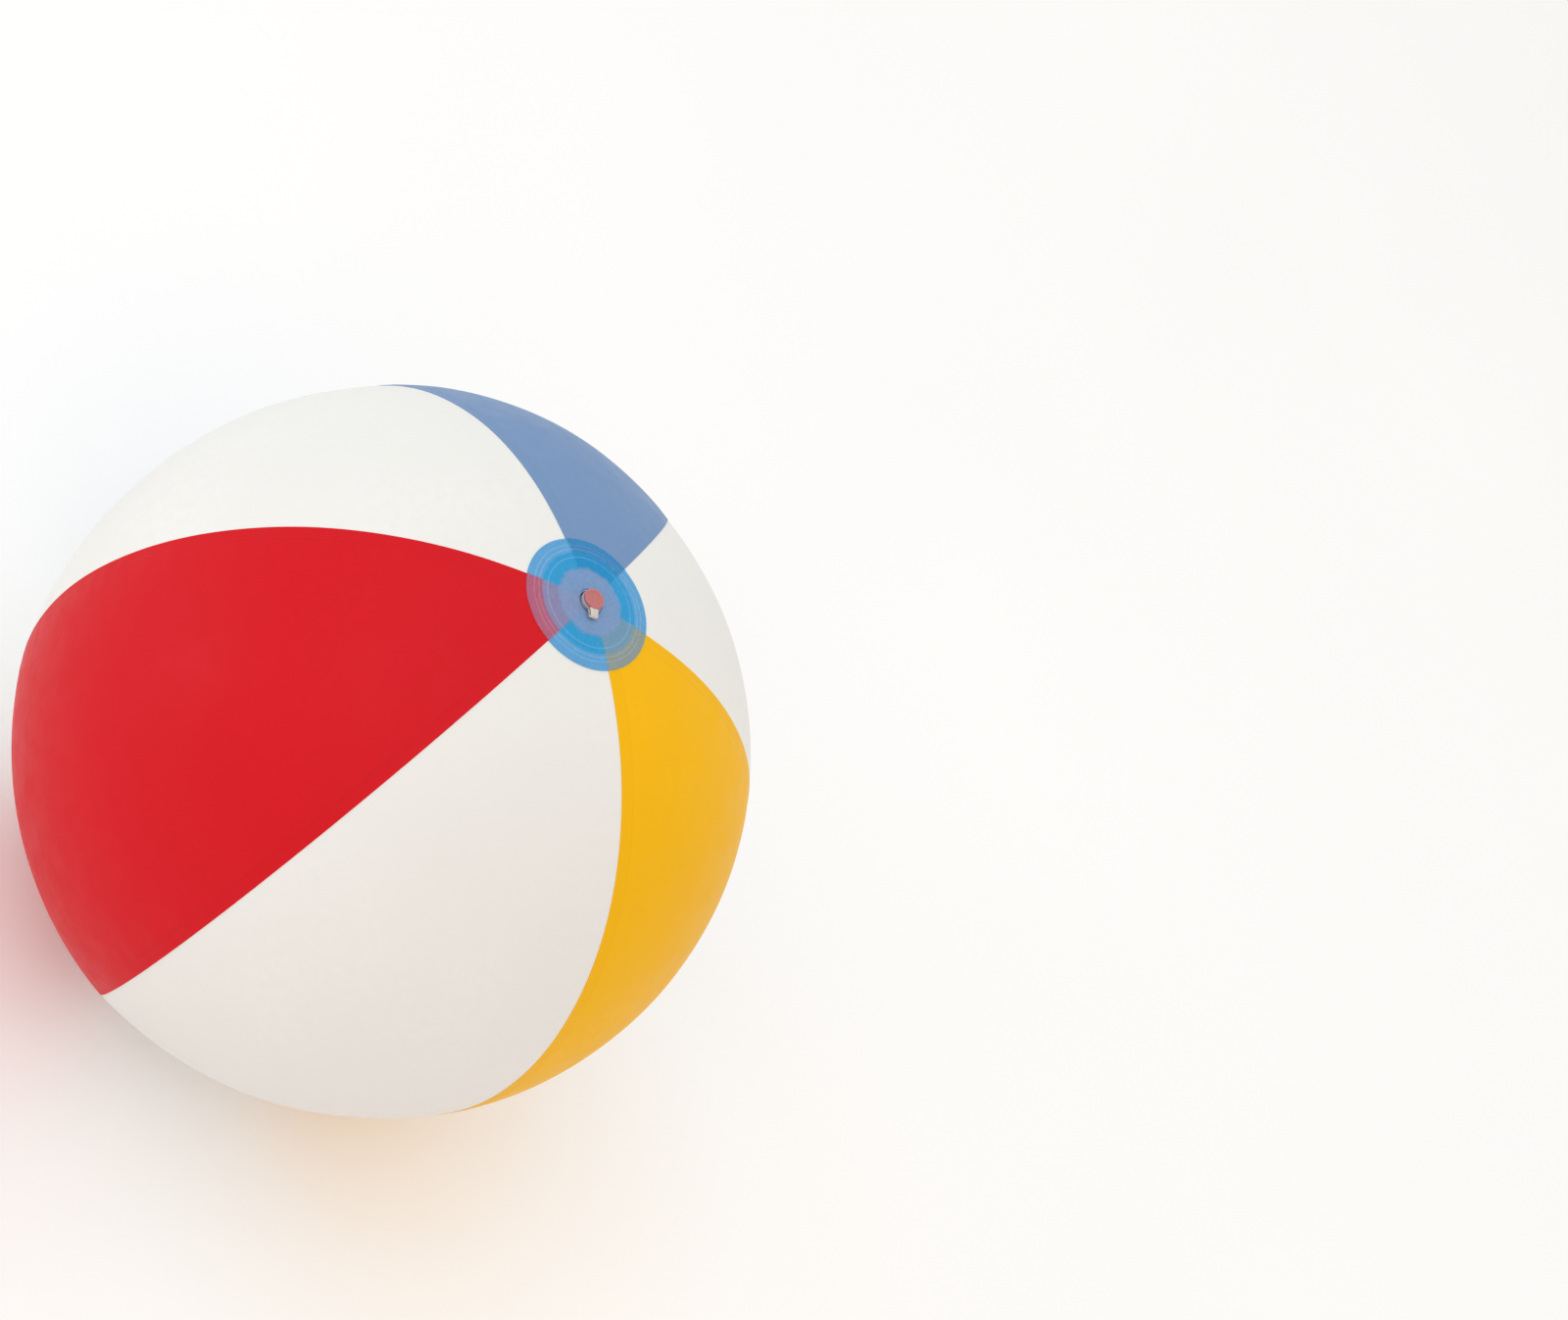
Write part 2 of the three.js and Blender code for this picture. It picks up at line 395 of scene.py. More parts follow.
def object_noise(tree, scale, detail=2.0, roughness=0.5):
    """Noise in the piece's own space, from nought to one. Scale is in waves a metre."""
    place = node(tree, "ShaderNodeTexCoord")
    return node(
        tree,
        "ShaderNodeTexNoise",
        {"Vector": place.outputs["Object"], "Scale": scale, "Detail": detail, "Roughness": roughness},
    ).outputs["Fac"]


def between(tree, value, from_low, from_high, to_low, to_high):
    """A value carried from one span of numbers to another, and held at the ends."""
    return node(
        tree,
        "ShaderNodeMapRange",
        {"Value": value, "From Min": from_low, "From Max": from_high, "To Min": to_low, "To Max": to_high},
    ).outputs["Result"]


def maths(tree, operation, first, second):
    """Arithmetic on two numbers."""
    return node(tree, "ShaderNodeMath", {0: first, 1: second}, operation=operation).outputs[0]


def attribute(tree, name, output="Fac"):
    """A number or colour that the mesh carries at its points."""
    return node(tree, "ShaderNodeAttribute", attribute_name=name).outputs[output]


def mix_colour(tree, factor, first, second, blend="MIX"):
    """Two colours mixed by a factor."""
    made = node(tree, "ShaderNodeMix", data_type="RGBA", blend_type=blend)
    for socket, value in ((made.inputs[0], factor), (made.inputs[6], first), (made.inputs[7], second)):
        if isinstance(value, bpy.types.NodeSocket):
            tree.links.new(value, socket)
        else:
            socket.default_value = value
    return made.outputs[2]


def opaque(rgb, share=1.0):
    """A colour with its alpha, darkened to a share of itself."""
    return (*(share * c for c in rgb), 1.0)


def sheet_material(name, rgb):
    """Soft vinyl sheet: its tone drifts over several centimetres, a fine grain breaks its gloss,
    scuffs dull it here and there, and the weld along its edge is pressed in fine ribs, with a
    faint darker line where the double sheet ends."""
    material, tree, output = new_material(name)
    drift = between(tree, object_noise(tree, 13), 0.3, 0.7, 0.0, 1.0)
    mottle = between(tree, object_noise(tree, 240, 4, 0.65), 0.35, 0.65, 0.0, 1.0)
    tone = mix_colour(tree, drift, opaque(rgb, 0.965), opaque(rgb, 1.02))
    tone = mix_colour(tree, mottle, tone, opaque(rgb, 0.985))

    seam = attribute(tree, "seam")
    line = maths(
        tree,
        "MULTIPLY",
        between(tree, seam, 5.2 * MM, 5.6 * MM, 0, 1),
        between(tree, seam, 5.9 * MM, 6.6 * MM, 1, 0),
    )
    band = maths(
        tree,
        "MULTIPLY",
        between(tree, seam, 0.7 * MM, 1.0 * MM, 0, 1),
        between(tree, seam, 4.9 * MM, 5.3 * MM, 1, 0),
    )
    tone = mix_colour(tree, maths(tree, "MULTIPLY", line, 0.3), tone, opaque(rgb, 0.84))
    tone = mix_colour(tree, maths(tree, "MULTIPLY", band, 0.35), tone, opaque(rgb, 0.95))

    grain = object_noise(tree, 1500, 3, 0.6)
    rib_place = node(
        tree,
        "ShaderNodeCombineXYZ",
        {"X": seam, "Y": attribute(tree, "along")},
    )
    ribs = node(
        tree,
        "ShaderNodeTexWave",
        {"Vector": rib_place.outputs[0], "Scale": 260.0, "Distortion": 0.0},
        bands_direction="DIAGONAL",
    ).outputs["Fac"]
    height = maths(tree, "ADD", maths(tree, "MULTIPLY", grain, 0.25), maths(tree, "MULTIPLY", ribs, band))
    bump = node(
        tree,
        "ShaderNodeBump",
        {"Strength": 0.22, "Distance": 0.05 * MM, "Height": height},
    )
    scuffs = object_noise(tree, 70, 7, 0.72)
    gloss = between(tree, scuffs, 0.38, 0.66, 0.42, 0.54)
    shader = node(
        tree,
        "ShaderNodeBsdfPrincipled",
        {
            "Base Color": tone,
            "Roughness": gloss,
            "IOR": 1.45,
            "Specular IOR Level": 0.13,
            "Normal": bump.outputs[0],
        },
    )
    tree.links.new(shader.outputs[0], output.inputs["Surface"])
    return material


def film_material(name):
    """Clear blue film: light passes through tinted by it, and its own body carries the colour that
    the mesh gives it, which is hazier over the valve's flange. Over the sheets that body colour is
    painted after the sheet beneath, a painted view of the sheet through the film on top of the real
    tinted light that passes through, most strongly in the welded outer ring; its moulded rings are
    painted lighter, as painted highlights."""
    material, tree, output = new_material(name)
    own = attribute(tree, "own", "Color")
    passed = attribute(tree, "passed", "Color")
    body = attribute(tree, "body")
    speckle = between(tree, object_noise(tree, 700, 3, 0.6), 0.35, 0.65, 0.94, 1.06)
    tone = node(tree, "ShaderNodeVectorMath", {0: own, 1: speckle}, operation="MULTIPLY").outputs[0]
    grain = object_noise(tree, 1300, 3, 0.6)
    bump = node(tree, "ShaderNodeBump", {"Strength": 0.15, "Distance": 0.04 * MM, "Height": grain})
    gloss = between(tree, object_noise(tree, 90, 6, 0.7), 0.38, 0.66, 0.18, 0.30)
    shader = node(
        tree,
        "ShaderNodeBsdfPrincipled",
        {
            "Base Color": tone,
            "Roughness": gloss,
            "IOR": 1.45,
            "Specular IOR Level": 0.4,
            "Normal": bump.outputs[0],
        },
    )
    clear = node(tree, "ShaderNodeBsdfTransparent", {"Color": passed})
    mixed = node(tree, "ShaderNodeMixShader", {0: body, 1: clear.outputs[0], 2: shader.outputs[0]})
    tree.links.new(mixed.outputs[0], output.inputs["Surface"])
    return material


def moulding_material(name, rgb, mottled, milky):
    """Moulded soft vinyl: its colour is cloudy at the scale of a millimetre, with paler streaks where
    it flowed into the mould, and a little light goes into it. Mottled is how strong the clouds are,
    and milky how pale they are."""
    material, tree, output = new_material(name)
    clouds = between(tree, object_noise(tree, 620, 5, 0.6), 0.36, 0.64, 0.0, 1.0)
    streaks = between(tree, object_noise(tree, 1500, 4, 0.7), 0.5, 0.68, 0.0, 1.0)
    pale = opaque([c + (1 - c) * milky for c in rgb])
    tone = mix_colour(tree, maths(tree, "MULTIPLY", clouds, mottled), opaque(rgb), opaque(rgb, 0.68))
    tone = mix_colour(tree, maths(tree, "MULTIPLY", streaks, mottled), tone, pale)
    grain = object_noise(tree, 2600, 3, 0.6)
    bump = node(tree, "ShaderNodeBump", {"Strength": 0.25, "Distance": 0.04 * MM, "Height": grain})
    shader = node(
        tree,
        "ShaderNodeBsdfPrincipled",
        {
            "Base Color": tone,
            "Roughness": between(tree, clouds, 0, 1, 0.28, 0.40),
            "IOR": 1.45,
            "Specular IOR Level": 0.4,
            "Subsurface Weight": 0.25,
            "Subsurface Radius": (1.0, 0.8, 0.7),
            "Subsurface Scale": 0.8 * MM,
            "Normal": bump.outputs[0],
        },
    )
    tree.links.new(shader.outputs[0], output.inputs["Surface"])
    return material


def finished(piece, material, node_name):
    """Gives a piece its material and hides the CAD node that it stands for."""
    piece.data.materials.append(material)
    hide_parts(node_name)
    return piece


# ---------------------------------------------------------------- the sheets


def sheet_sections(sizes, index, laps_over):
    """A panel's grid, one closed section a row: its outer face from edge to edge and its inner face
    back. A row keeps its distances from the seams beside the welds and spaces the rest evenly. The
    rows run from end to end, and each end is cut unevenly, by two sines round the axis."""
    rows, middle_columns = 300, 50
    first = polar_at(np.array(sizes.ends))
    nominal = np.linspace(first, math.pi - first, rows)[:, None]
    if laps_over:
        beside = np.array([0, 0.1, 0.4, 0.75, 1.05, 2, 3, 4, 4.9, 5.25, 5.6, 6, 6.6]) * MM
    else:
        beside = np.array([-6, -3, -1, -0.3, 0, 0.3, 1, 2.5, 4.5, 6.6]) * MM
        beside[0] = -sizes.lap
    edge = PANEL_ANGLE / 2 - beside / (plain_radius(nominal) * np.sin(nominal))
    share = np.linspace(-1, 1, middle_columns)[1:-1]
    middle = edge[:, -1:] * share
    angle = np.concatenate([-edge, middle, edge[:, ::-1]], axis=1)
    azimuth = (index + 0.5) * PANEL_ANGLE + angle

    wave = end_waves(sizes, azimuth)
    from_end = EQUATOR * (np.minimum(nominal, math.pi - nominal) - first)
    towards = np.where(nominal < math.pi / 2, 1, -1)
    polar = nominal + towards * wave / EQUATOR * np.exp(-from_end / (5 * MM))

    distance = (PANEL_ANGLE / 2 - np.abs(angle)) * plain_radius(polar) * np.sin(polar)
    skin = skin_radius(sizes, polar, azimuth)
    if laps_over:
        pressed = ramp(distance, 0.7 * MM, 1.0 * MM) * (1 - ramp(distance, 4.9 * MM, 5.3 * MM))
        softened = np.exp(-distance / (0.12 * MM))
        outer = skin - sizes.weld_depth * (pressed + softened)
        inner = skin - sizes.sheet
    else:
        clearance = 0.01 * MM
        outer = skin - sizes.sheet - clearance
        inner = outer - sizes.sheet
    faces = [on_sphere(radius, polar, azimuth) for radius in (outer, inner)]
    sections = np.concatenate([faces[0], faces[1][:, ::-1]], axis=1)
    values = {
        "seam": np.concatenate([distance, distance[:, ::-1]], axis=1),
        "along": np.concatenate([EQUATOR * polar, EQUATOR * polar[:, ::-1]], axis=1),
    }
    if not laps_over:
        values["seam"] = -np.abs(values["seam"])
    return sections, values


class BEACHBALL_OT_sheets(bpy.types.Operator):
    """Makes the six vinyl sheets, lapped and welded edge to edge"""

    bl_idname = "beachball.sheets"
    bl_label = "Sheets"

    def execute(self, context):
        sizes = context.scene.beach_ball_sizes
        colours = context.scene.beach_ball_colours
        shared = {
            name: sheet_material(name + "_vinyl_sheet", getattr(colours, name))
            for name in ("red", "yellow", "blue", "white")
        }
        for index, (name, cad, hue, laps_over, _) in enumerate(PANELS):
            sections, values = sheet_sections(sizes, index, laps_over)
            piece = lofted(name, sections, joined=False, values=values)
            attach(finished(piece, shared[hue], cad), "ball")
        return {"FINISHED"}


# ---------------------------------------------------------------- the films

RIDGES = (26.3 * MM, 24.3 * MM, 20.4 * MM)
RIDGE_HALF_WIDTH = 0.42 * MM

# The film over each sheet: the colour of its own body inside, the same in the welded outer ring,
# both painted after the sheet beneath as a painted view of it through the film, the ring's most
# strongly, and the colour of the light that it lets through.
FILM_LOOKS = {
    "white": ((0.05, 0.44, 0.80), (0.20, 0.49, 0.82), (0.42, 0.86, 0.97)),
    "blue": ((0.02, 0.39, 0.76), (0.11, 0.41, 0.74), (0.42, 0.86, 0.97)),
    "red": ((0.30, 0.39, 0.66), (0.56, 0.26, 0.42), (0.97, 0.72, 0.83)),
    "yellow": ((0.23, 0.44, 0.67), (0.45, 0.50, 0.58), (0.74, 0.90, 0.97)),
}


def ridges(distance):
    """The height of the rings moulded in the film, as a share: a cosine squared across each."""
    across = [np.clip((distance - ridge) / RIDGE_HALF_WIDTH, -1, 1) for ridge in RIDGES]
    return sum(np.cos(x * math.pi / 2) ** 2 for x in across)


def film_zones(sizes, colours, distance, azimuth, filled):
    """What the film's points carry: the colour of its own body, the colour it lets through, and how
    much of it is body. Outside the ring of panel ends it shows the sheets, partly through real
    transparency and partly as a painted view of them in its body colour, most of all in its welded
    outer ring, and its moulded rings are painted lighter as painted highlights; inside it is hazy."""
    over = ramp(seam_distance(polar_at(distance), azimuth), -0.35 * MM, 0.25 * MM)[..., None]
    ring = ramp(distance, 22.3 * MM, 23.3 * MM)[..., None]
    wave = end_waves(sizes, azimuth)
    hazy = (1 - ramp(distance - wave, 14.0 * MM, 16.4 * MM))[..., None]
    turn = azimuth / PANEL_ANGLE
    here = np.floor(turn).astype(int) % PANEL_COUNT
    beside = np.where(turn - np.floor(turn) < 0.5, here - 1, here + 1) % PANEL_COUNT
    nearest = np.where(LAPS_OVER[here], here, beside)

    # Painted see-through: the film's body colour is taken from the sheet beneath it.
    looks = np.array([FILM_LOOKS[panel[2]] for panel in PANELS])[nearest]
    white = np.array(FILM_LOOKS["white"])
    inside, welded, through = (
        white[k] * (1 - over) + looks[..., k, :] * over for k in range(3)
    )
    # Painted highlights: the moulded rings are painted lighter in the film's body colour.
    own = inside * (1 - ring) + welded * ring + 0.16 * ridges(distance)[..., None]
    own = own * (1 - hazy) + np.array(colours.haze) * hazy
    body = 0.5 - 0.15 * over * ring
    body = body * (1 - hazy) + (0.92 if filled else 0.6) * hazy
    alpha = np.ones_like(body)
    return {
        "own": np.concatenate([own, alpha], axis=-1),
        "passed": np.concatenate([through, alpha], axis=-1),
        "body": body[..., 0],
    }


def film_disc(name, sizes, colours, filled):
    """A film disc at the top pole, or, when filled, at the bottom one. Its sections are cut along
    radii. The outer face stands a film's thickness off the skin, dips over the thinner white
    sheets, carries ridges shaped as a cosine squared and rounds off at its edges as a quarter
    circle; the filled disc is flat inside the ring of panel ends."""
    around = 288
    start = 0 if filled else sizes.well
    step = 0.26 * MM
    distance = np.linspace(start, sizes.disc, round((sizes.disc - start) / step))
    rim = sizes.disc - np.array([0.02, 0.06, 0.12, 0.2]) * MM
    distance = np.sort(np.concatenate([distance, rim]))[None, :]
    azimuth = np.linspace(0, 2 * math.pi, around, endpoint=False)[:, None]
    azimuth = azimuth + 0 * distance
    distance = distance + 0 * azimuth

    polar = polar_at(distance)
    coloured = ramp(seam_distance(polar, azimuth), -1.6 * MM, 0)
    beyond_ends = ramp(distance, 14.4 * MM, 15.6 * MM)
    dip = 0.18 * MM * (1 - coloured) * beyond_ends
    skin = skin_radius(sizes, polar, azimuth) + 0.05 * MM - dip
    rounding = 0.22 * MM
    to_rim = np.clip((distance - sizes.disc + rounding) / rounding, 0, 1)
    thickness = sizes.film * (0.25 + 0.75 * np.sqrt(1 - to_rim**2))
    if not filled:
        to_well = np.clip((sizes.well + rounding - distance) / rounding, 0, 1)
        bead = 0.15 * MM * np.exp(-(((distance - sizes.well - 0.5 * MM) / (0.45 * MM)) ** 2))
        thickness = thickness * (0.25 + 0.75 * np.sqrt(1 - to_well**2)) + bead
    outer = on_sphere(skin + thickness + sizes.ridge * ridges(distance), polar, azimuth)
    inner = on_sphere(skin, polar, azimuth)
    if filled:
        level = polar_at(np.array(sizes.ends))
        flat = plain_radius(level) * math.cos(level)
        for face, height in ((outer, flat + sizes.film), (inner, flat)):
            face[..., 2] = np.where(distance < sizes.ends, height, np.minimum(face[..., 2], height))
            face[..., 2] *= -1
    zones = film_zones(sizes, colours, distance, azimuth, filled)
    sections = np.concatenate([outer, inner[:, ::-1]], axis=1)
    values = {key: np.concatenate([v, v[:, ::-1]], axis=1) for key, v in zones.items()}
    return lofted(name, sections, joined=True, sharp=60, values=values)


class BEACHBALL_OT_films(bpy.types.Operator):
    """Makes the round film disc at each pole"""

    bl_idname = "beachball.films"
    bl_label = "Film discs"

    def execute(self, context):
        sizes = context.scene.beach_ball_sizes
        colours = context.scene.beach_ball_colours
        material = film_material("clear_blue_film")
        for name, cad, filled in (
            ("valve_disc_film", "valve_disc", False),
            ("base_disc_film", "base_disc", True),
        ):
            piece = film_disc(name, sizes, colours, filled)
            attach(finished(piece, material, cad), "ball")
        return {"FINISHED"}


# ---------------------------------------------------------------- the valve


def skin_height(distance, offset):
    """Height of the plain skin at a distance from the axis, and an offset outwards from there."""
    polar = polar_at(np.asarray(distance, float))
    return (plain_radius(polar) + offset) * np.cos(polar)


class BEACHBALL_OT_seat(bpy.types.Operator):
    """Makes the valve's flange, whose rim goes under the panel ends, and the skirt that turns
    inside out"""

    bl_idname = "beachball.seat"
    bl_label = "Valve seat"

    def execute(self, context):
        sizes = context.scene.beach_ball_sizes
        colours = context.scene.beach_ball_colours
        material = moulding_material("milky_vinyl", colours.valve, mottled=0.2, milky=0.3)

        inner, shoulder, rim = sizes.well, 14.1 * MM, 16.5 * MM
        ring = np.linspace(inner + 0.4 * MM, shoulder - 0.4 * MM, 96)
        ribs = 0.07 * MM * np.cos((ring - inner) * 2 * math.pi / (1.3 * MM)) - 0.1 * MM
        lower = np.array([[inner, -0.55], [13.2 * MM, -0.55], [13.6 * MM, -0.86], [rim, -0.86]])
        upper = np.array([[rim, -0.56], [shoulder + 0.15 * MM, -0.56], [shoulder, -0.05]])
        lower[:, 1] *= MM
        upper[:, 1] *= MM
        top = np.stack([ring, ribs], axis=1)[::-1]
        last = np.array([[inner, -0.12 * MM]])
        profile = np.concatenate([lower, upper, top, last])
        profile[:, 1] = skin_height(profile[:, 0], profile[:, 1])
        flange = turned("flange_moulding", profile, around=144)
        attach(finished(flange, material, "valve_flange"), "ball")

        top_height = POLE - 0.2 * MM
        t = np.linspace(0, 1, 40)
        bell = (1 - t) ** 1.6
        distance = LIP_RADIUS + 0.08 * MM + (inner - 0.05 * MM - LIP_RADIUS - 0.48 * MM) * bell
        height = top_height + (STEM_FOOT - top_height) * t
        thickness = 0.4 * MM * (0.75 + 0.25 * np.cos(2 * math.pi * t))
        outside = np.stack([distance + thickness, height], axis=1)
        inside = np.stack([distance, height], axis=1)
        skirt = turned("skirt_cone", np.concatenate([outside, inside[::-1]]))
        finished(skirt, material, "valve_skirt")
        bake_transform(skirt)
        return {"FINISHED"}


class BEACHBALL_OT_stem(bpy.types.Operator):
    """Makes the valve's stem, a short tube with a lip at its mouth and a collar at its foot"""

    bl_idname = "beachball.stem"
    bl_label = "Valve stem"

    def execute(self, context):
        sizes = context.scene.beach_ball_sizes
        colours = context.scene.beach_ball_colours
        bore = sizes.bore
        tube = bore + sizes.wall
        profile = [
            (bore, STEM_FOOT),
            (LIP_RADIUS + 0.04 * MM, STEM_FOOT),
            (LIP_RADIUS + 0.04 * MM, STEM_FOOT + 0.8 * MM),
            (tube, STEM_FOOT + 1.2 * MM),
            (tube, MOUTH - 1.1 * MM),
            (LIP_RADIUS, MOUTH - 0.8 * MM),
            (LIP_RADIUS, MOUTH),
            (bore + 0.2 * MM, MOUTH),
            (bore, MOUTH - 0.4 * MM),
        ]
        stem = turned("stem_tube", rounded(profile, 0.2 * MM))
        material = moulding_material("milky_stem_vinyl", colours.valve, mottled=0.3, milky=0.4)
        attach(finished(stem, material, "valve_stem"), "stem")
        return {"FINISHED"}


class BEACHBALL_OT_stopper(bpy.types.Operator):
    """Makes the stopper: a dished round head on a tapered plug with two sealing beads"""

    bl_idname = "beachball.stopper"
    bl_label = "Stopper"

    def execute(self, context):
        sizes = context.scene.beach_ball_sizes
        colours = context.scene.beach_ball_colours
        underside = MOUTH + 0.02 * MM
        plug = sizes.bore - 0.25 * MM
        profile = [
            (0, PLUG_END),
            (plug - 0.6 * MM, PLUG_END),
            (plug - 0.35 * MM, PLUG_END + 0.7 * MM),
            (plug + 0.1 * MM, PLUG_END + 1.1 * MM),
            (plug - 0.2 * MM, PLUG_END + 1.5 * MM),
            (plug + 0.15 * MM, PLUG_END + 2.3 * MM),
            (plug - 0.1 * MM, PLUG_END + 2.7 * MM),
            (plug, underside),
            (HEAD_RADIUS, underside),
            (HEAD_RADIUS, HEAD_TOP - 0.1 * MM),
            (HEAD_RADIUS - 0.9 * MM, HEAD_TOP),
            (HEAD_RADIUS - 1.6 * MM, HEAD_TOP - 0.45 * MM),
            (0.9 * MM, HEAD_TOP - 0.55 * MM),
            (0.55 * MM, HEAD_TOP - 0.3 * MM),
            (0, HEAD_TOP - 0.28 * MM),
        ]
        radii = np.full(len(profile), 0.35 * MM)
        radii[[0, -1]] = 0
        stopper = turned("stopper_plug", rounded(profile, radii, steps=7))
        material = moulding_material(
            "coral_stopper_vinyl", colours.stopper, mottled=0.25, milky=0.25
        )
        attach(finished(stopper, material, "stopper"), "stopper")
        return {"FINISHED"}


class BEACHBALL_OT_strap(bpy.types.Operator):
    """Makes the stopper's strap, a flat band bent into a U between the stem's lip and the head"""

    bl_idname = "beachball.strap"
    bl_label = "Strap"

    def execute(self, context):
        """The path runs out along the lower leg, round a half circle and back along the upper leg.
        The section is a flat superellipse, and it widens as a parabola towards both roots."""
        sizes = context.scene.beach_ball_sizes
        colours = context.scene.beach_ball_colours
        bend = 0.75 * MM
        roots = (LIP_RADIUS - 0.12 * MM, HEAD_RADIUS - 0.12 * MM)
        out = np.linspace(roots[0], STRAP_HINGE, 24, endpoint=False)
        back = np.linspace(STRAP_HINGE, roots[1], 25)[1:]
        sweep = np.linspace(-math.pi / 2, math.pi / 2, 31)
        distance = np.concatenate([out, STRAP_HINGE + bend * np.cos(sweep), back])
        height = np.concatenate([0 * out - bend, bend * np.sin(sweep), 0 * back + bend])
        lean = np.concatenate([0 * out - math.pi / 2, sweep, 0 * back + math.pi / 2])
        along = np.linspace(-1, 1, len(distance))[:, None]
        width = sizes.strap_width * (1 + 0.22 * ramp(np.abs(along), 0.62, 1.0))

        loop = np.linspace(0, 2 * math.pi, 28, endpoint=False)[None, :] + math.pi / 28
        across, through = np.cos(loop), np.sin(loop)
        roundness = 0.45
        sideways = width / 2 * np.sign(across) * np.abs(across) ** roundness
        outwards = sizes.strap / 2 * np.sign(through) * np.abs(through) ** roundness
        r = distance[:, None] + outwards * np.cos(lean)[:, None]
        z = STRAP_HEIGHT + height[:, None] + outwards * np.sin(lean)[:, None]
        x = r * math.cos(STRAP_ANGLE) - sideways * math.sin(STRAP_ANGLE)
        y = r * math.sin(STRAP_ANGLE) + sideways * math.cos(STRAP_ANGLE)
        strap = lofted("strap_loop", np.stack([x, y, z], axis=-1), joined=False, sharp=70)
        material = moulding_material("cream_strap_vinyl", colours.strap, mottled=0.4, milky=0.5)
        finished(strap, material, "stopper_strap")
        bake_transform(strap)
        return {"FINISHED"}


class BEACHBALL_OT_flap(bpy.types.Operator):
    """Makes the check flap, a thin leaf under the stem's foot that air pushes shut"""

    bl_idname = "beachball.flap"
    bl_label = "Check flap"

    def execute(self, context):
        """The outline is a circle with a tab of straight sides that reaches the hinge. Sections run
        from the middle to the outline, with a thin web, a thicker rim and rounded edges. The tab
        thins from below towards the hinge, so that the leaf clears the skirt as it swings."""
        sizes = context.scene.beach_ball_sizes
        colours = context.scene.beach_ball_colours
        leaf = sizes.bore + 0.3 * MM
        tab = 1.3 * MM
        angle = np.linspace(-math.pi, math.pi, 180, endpoint=False)
        to_tab = FLAP_HINGE / np.maximum(np.cos(angle), 0.1)
        to_side = tab / np.maximum(np.abs(np.sin(angle)), 1e-3)
        facing = np.cos(angle) > 0
        outline = np.where(facing, np.maximum(leaf, np.minimum(to_tab, to_side)), leaf)
        half = (FLAP_TOP - FLAP_BOTTOM) / 2
        share = np.array([0, 0.2, 0.4, 0.6, 0.74, 0.8, 0.86, 0.93, 0.97, 0.99, 1.0])
        edge = np.sqrt(1 - ramp(share, 0.9, 1.0) ** 2 * 0.8)
        thick = half * (0.55 + 0.45 * ramp(share, 0.72, 0.84)) * edge
        distance = np.concatenate([share, share[::-1]]) * outline[:, None]
        height = np.concatenate([thick, -thick[::-1]])[None, :] + (FLAP_TOP + FLAP_BOTTOM) / 2
        towards_hinge = distance * np.cos(angle)[:, None]
        thinning = 0.7 * ramp(towards_hinge, FLAP_HINGE - 1.3 * MM, FLAP_HINGE - 0.6 * MM)
        height = FLAP_TOP - (FLAP_TOP - height) * (1 - thinning)
        turn = angle[:, None] + FLAP_ANGLE
        sections = np.stack(
            [distance * np.cos(turn), distance * np.sin(turn), height],
            axis=-1,
        )
        flap = lofted("flap_leaf", sections, joined=True)
        material = moulding_material("milky_flap_vinyl", colours.valve, mottled=0.2, milky=0.35)
        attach(finished(flap, material, "check_flap"), "flap")
        return {"FINISHED"}


# ---------------------------------------------------------------- the stage

# The camera looks down past the valve, rolled so that the ball's axis leans to the right.
CAMERA_AZIMUTH = math.radians(25.2)
CAMERA_ELEVATION = math.radians(50.15)
CAMERA_ROLL = math.radians(53.5)
CAMERA_DISTANCE = 7.78 * EQUATOR
CAMERA_LENS = 64.4
CAMERA_SENSOR = 36.0
BALL_IN_FRAME = (-0.2530, -0.0580)  # the ball's centre from the frame's, in frame widths

FLOOR_HALF_WIDTH = 60.0
FLOOR_DROP = 0.1 * MM  # below the lowest face, so that the two don't coincide


def camera_axes():
    """The directions of the frame's right and top and of the camera's back, before it pans."""
    a, e = CAMERA_AZIMUTH, CAMERA_ELEVATION
    back = Vector((math.sin(a) * math.cos(e), -math.cos(a) * math.cos(e), math.sin(e)))
    level = Vector((math.cos(a), math.sin(a), 0))
    upright = back.cross(level)
    c, s = math.cos(CAMERA_ROLL), math.sin(CAMERA_ROLL)
    return level * c + upright * s, upright * c - level * s, back


def softbox(name, direction, distance, size, power, rgb):
    """A square studio light that faces the ball's centre from a distance."""
    light = bpy.data.lights.new(name, "AREA")
    light.shape = "SQUARE"
    light.size = size
    light.energy = power
    light.color = rgb
    lamp = bpy.data.objects.new(name, light)
    lamp.location = direction.normalized() * distance
    lamp.rotation_euler = direction.to_track_quat("Z", "Y").to_euler()
    bpy.context.scene.collection.objects.link(lamp)


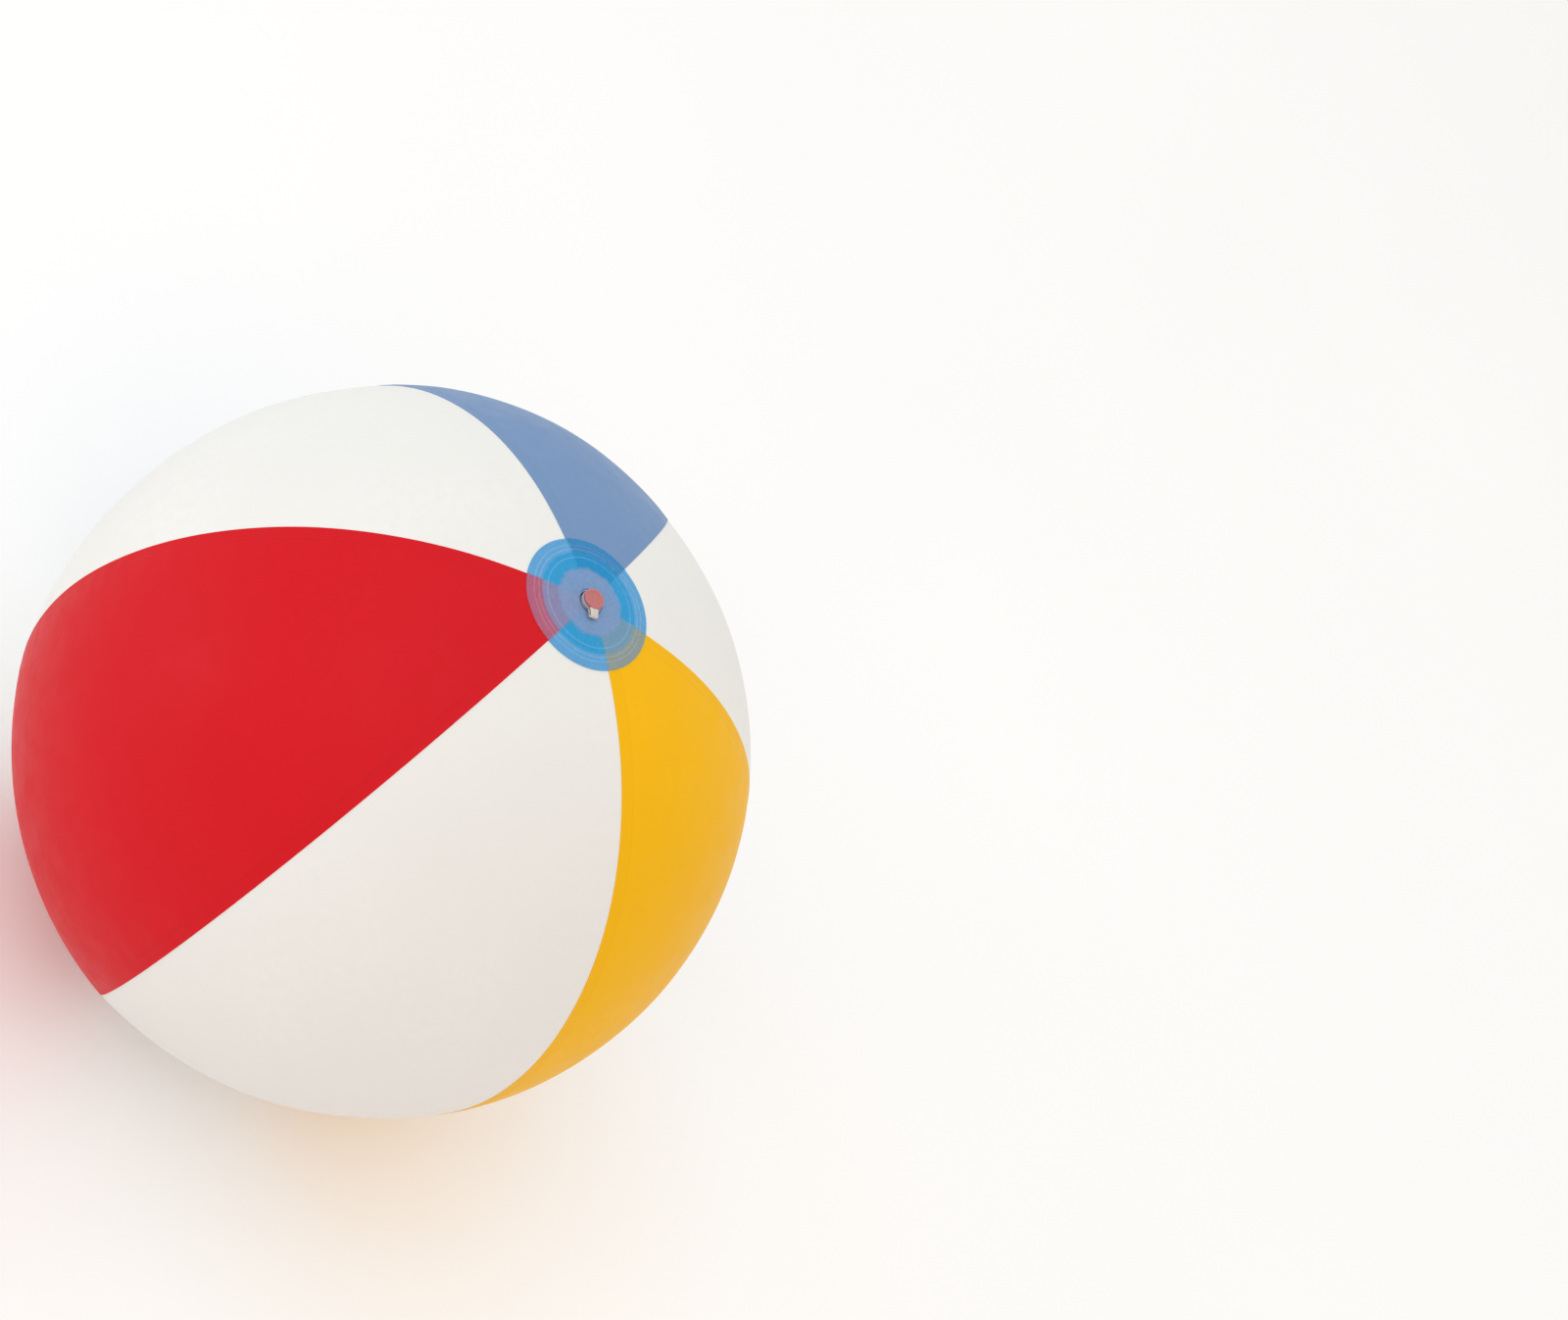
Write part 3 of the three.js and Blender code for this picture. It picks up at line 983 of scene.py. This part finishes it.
class BEACHBALL_OT_stage(bpy.types.Operator):
    """Makes the floor, the studio light and the camera"""

    bl_idname = "beachball.stage"
    bl_label = "Stage"

    def execute(self, context):
        scene = context.scene
        right, top, back = camera_axes()
        self.make_camera(scene, right, top, back)
        self.make_floor(scene)
        self.make_light(scene, right, top, back)
        return {"FINISHED"}

    def make_camera(self, scene, right, top, back):
        """The camera pans from the ball to where the ball stands off the middle of the frame."""
        data = bpy.data.cameras.new("camera")
        data.lens = CAMERA_LENS
        data.sensor_width = CAMERA_SENSOR
        spread = CAMERA_SENSOR / CAMERA_LENS
        seen = Vector((BALL_IN_FRAME[0] * spread, BALL_IN_FRAME[1] * spread, -1)).normalized()
        pan = seen.rotation_difference(Vector((0, 0, -1))).to_matrix()
        axes = Matrix((right, top, back)).transposed() @ pan
        camera = bpy.data.objects.new("camera", data)
        camera.matrix_world = Matrix.Translation(back * CAMERA_DISTANCE) @ axes.to_4x4()
        scene.collection.objects.link(camera)
        scene.camera = camera

    def make_floor(self, scene):
        """A wide flat floor, a hair below the ball's lowest face."""
        half = FLOOR_HALF_WIDTH
        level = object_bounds()[0].z - FLOOR_DROP
        square = ((-half, -half), (half, -half), (half, half), (-half, half))
        corners = [(x, y, level) for x, y in square]
        mesh = bpy.data.meshes.new("floor")
        mesh.from_pydata(corners, [], [(0, 1, 2, 3)])
        floor = bpy.data.objects.new("floor", mesh)
        scene.collection.objects.link(floor)
        material, tree, output = new_material("pale_floor")
        shade = between(tree, object_noise(tree, 3, 3, 0.5), 0.3, 0.7, 0.985, 1.0)
        tone = node(
            tree,
            "ShaderNodeVectorMath",
            {0: scene.beach_ball_colours.floor, 1: shade},
            operation="MULTIPLY",
        )
        shader = node(
            tree,
            "ShaderNodeBsdfPrincipled",
            {"Base Color": tone.outputs[0], "Roughness": 0.8, "Specular IOR Level": 0.1},
        )
        tree.links.new(shader.outputs[0], output.inputs["Surface"])
        mesh.materials.append(material)
        floor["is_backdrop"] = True

    def make_light(self, scene, right, top, back):
        """An even pale surround that warms towards the frame's lower side, and two softboxes."""
        world = bpy.data.worlds.new("studio")
        world.use_nodes = True
        tree = world.node_tree
        tree.nodes.clear()
        output = node(tree, "ShaderNodeOutputWorld")
        place = node(tree, "ShaderNodeTexCoord")
        facing = node(
            tree,
            "ShaderNodeVectorMath",
            {0: place.outputs["Generated"], 1: top},
            operation="DOT_PRODUCT",
        )
        warm = between(tree, facing.outputs["Value"], -0.9, 0.5, 1, 0)
        sky = mix_colour(tree, warm, (0.97, 1.0, 1.0, 1), (0.90, 0.74, 0.64, 1))
        background = node(tree, "ShaderNodeBackground", {"Color": sky, "Strength": 0.99})
        tree.links.new(background.outputs[0], output.inputs["Surface"])
        scene.world = world
        key = -0.79 * right + 0.38 * top + 0.40 * back
        softbox("key", key, distance=2.0, size=0.35, power=3.2, rgb=(1.0, 1.0, 1.0))
        fill = 0.10 * right + 0.35 * top + 0.93 * back
        softbox("fill", fill, distance=2.4, size=2.0, power=10.0, rgb=(0.96, 0.98, 1.0))
        scene.view_settings.view_transform = "Standard"


# ---------------------------------------------------------------- the add-on

OPERATORS = (
    BEACHBALL_OT_sheets,
    BEACHBALL_OT_films,
    BEACHBALL_OT_seat,
    BEACHBALL_OT_stem,
    BEACHBALL_OT_stopper,
    BEACHBALL_OT_strap,
    BEACHBALL_OT_flap,
    BEACHBALL_OT_stage,
)


class BEACHBALL_PT_panel(bpy.types.Panel):
    """The beach ball's sidebar panel"""

    bl_idname = "BEACHBALL_PT_panel"
    bl_label = "Beach Ball"
    bl_space_type = "VIEW_3D"
    bl_region_type = "UI"
    bl_category = "Beach Ball"

    def draw(self, context):
        layout = self.layout
        for group in (context.scene.beach_ball_sizes, context.scene.beach_ball_colours):
            box = layout.box()
            for key in group.__annotations__:
                box.prop(group, key)
        for operator in OPERATORS:
            layout.operator(operator.bl_idname)


CLASSES = (BeachBallSizes, BeachBallColours, *OPERATORS, BEACHBALL_PT_panel)


def register():
    for item in CLASSES:
        bpy.utils.register_class(item)
    bpy.types.Scene.beach_ball_sizes = PointerProperty(type=BeachBallSizes)
    bpy.types.Scene.beach_ball_colours = PointerProperty(type=BeachBallColours)


def unregister():
    del bpy.types.Scene.beach_ball_colours
    del bpy.types.Scene.beach_ball_sizes
    for item in reversed(CLASSES):
        bpy.utils.unregister_class(item)


def main():
    """Makes every piece and the stage."""
    register()
    for operator in OPERATORS:
        module, name = operator.bl_idname.split(".")
        getattr(getattr(bpy.ops, module), name)()


if __name__ == "__main__":
    main()
